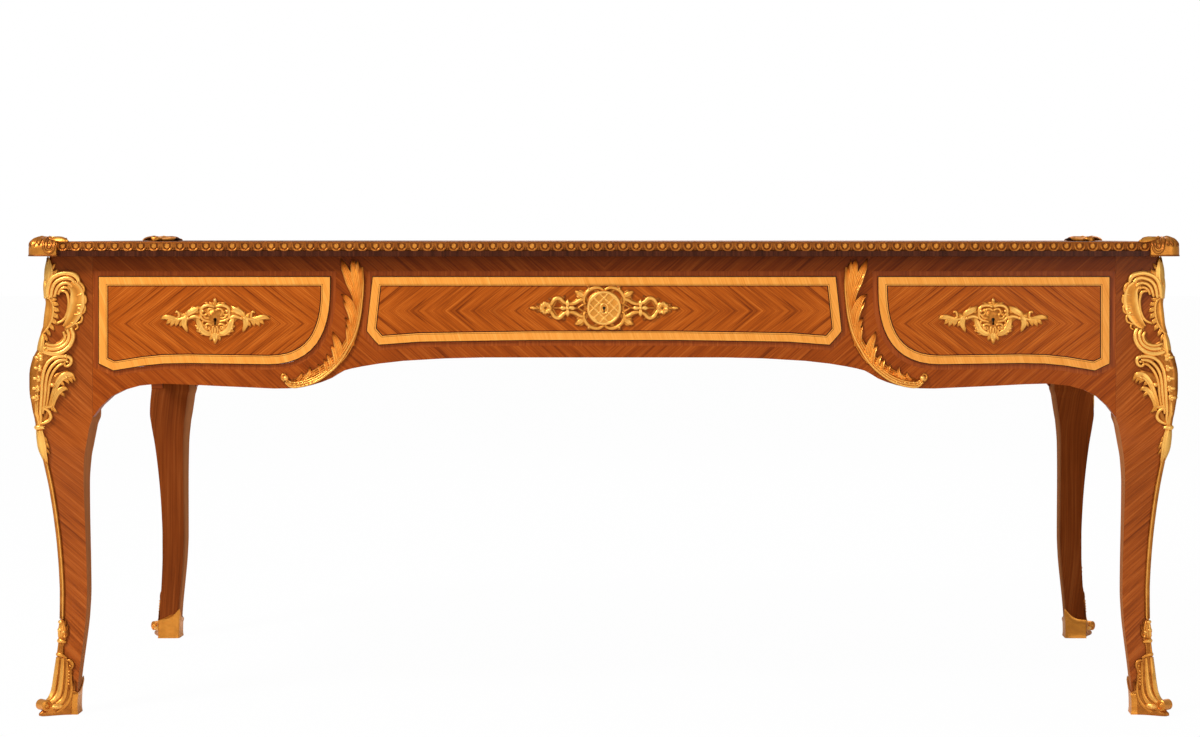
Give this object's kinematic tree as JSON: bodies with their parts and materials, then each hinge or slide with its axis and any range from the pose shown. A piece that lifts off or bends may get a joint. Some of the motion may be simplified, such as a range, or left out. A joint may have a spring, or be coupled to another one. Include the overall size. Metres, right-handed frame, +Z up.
{
  "type": "writing desk",
  "caption": "Flat-topped writing desk with curved legs, a leather writing surface, lockable frieze drawers on runners and gilt bronze corner, keyhole, rim and foot mounts.",
  "frame": {"origin": "on the floor under the middle of the desk", "axes": "+X to the right along the length as the front is faced, +Y from the front to the back, +Z up; the drawers open towards -Y"},
  "size_m": [1.89, 0.95, 0.79],
  "materials": {
    "veneer": "polished",
    "oak": "plain",
    "bronze": "gilt, part burnished",
    "leather": "waxed, gilt tooled",
    "steel": "dulled"
  },
  "bodies": {
    "frame": {"top_board": "veneer", "leather": "leather", "rim_front": "bronze", "rim_back": "bronze", "rim_left": "bronze", "rim_right": "bronze", "front_apron": "veneer", "back_apron": "veneer", "left_apron": "veneer", "right_apron": "veneer", "partition_left": "oak", "partition_right": "oak", "inner_runner_left": "oak", "inner_runner_right": "oak", "outer_runner_left": "oak", "outer_runner_right": "oak", "leg_front_left": "veneer", "leg_front_right": "veneer", "leg_back_left": "veneer", "leg_back_right": "veneer", "sabot_front_left": "bronze", "sabot_front_right": "bronze", "sabot_back_left": "bronze", "sabot_back_right": "bronze", "corner_mount_front_left": "bronze", "corner_mount_front_right": "bronze", "corner_mount_back_left": "bronze", "corner_mount_back_right": "bronze", "clasp_front_left": "bronze", "clasp_front_right": "bronze", "clasp_back_left": "bronze", "clasp_back_right": "bronze", "acanthus_front_left": "bronze", "acanthus_front_right": "bronze", "acanthus_back_left": "bronze", "acanthus_back_right": "bronze"},
    "drawer_left": {"drawer_left_front": "veneer", "drawer_left_side_left": "oak", "drawer_left_side_right": "oak", "drawer_left_back": "oak", "drawer_left_bottom": "oak", "escutcheon_left": "bronze", "lock_case_left": "steel"},
    "drawer_centre": {"drawer_centre_front": "veneer", "drawer_centre_side_left": "oak", "drawer_centre_side_right": "oak", "drawer_centre_back": "oak", "drawer_centre_bottom": "oak", "escutcheon_centre": "bronze", "lock_case_centre": "steel"},
    "drawer_right": {"drawer_right_front": "veneer", "drawer_right_side_left": "oak", "drawer_right_side_right": "oak", "drawer_right_back": "oak", "drawer_right_bottom": "oak", "escutcheon_right": "bronze", "lock_case_right": "steel"},
    "bolt_left": {"lock_bolt_left": "steel"},
    "bolt_centre": {"lock_bolt_centre": "steel"},
    "bolt_right": {"lock_bolt_right": "steel"}
  },
  "joints": [
    {"name": "left_drawer_slide", "type": "slide", "parent": "frame", "child": "drawer_left", "axis": [0, -1, 0], "range_m": [0, 0.4]},
    {"name": "centre_drawer_slide", "type": "slide", "parent": "frame", "child": "drawer_centre", "axis": [0, -1, 0], "range_m": [0, 0.4]},
    {"name": "right_drawer_slide", "type": "slide", "parent": "frame", "child": "drawer_right", "axis": [0, -1, 0], "range_m": [0, 0.4]},
    {"name": "left_bolt_throw", "type": "slide", "parent": "drawer_left", "child": "bolt_left", "axis": [0, 0, 1], "range_m": [0, 0.01]},
    {"name": "centre_bolt_throw", "type": "slide", "parent": "drawer_centre", "child": "bolt_centre", "axis": [0, 0, 1], "range_m": [0, 0.01]},
    {"name": "right_bolt_throw", "type": "slide", "parent": "drawer_right", "child": "bolt_right", "axis": [0, 0, 1], "range_m": [0, 0.01]}
  ]
}
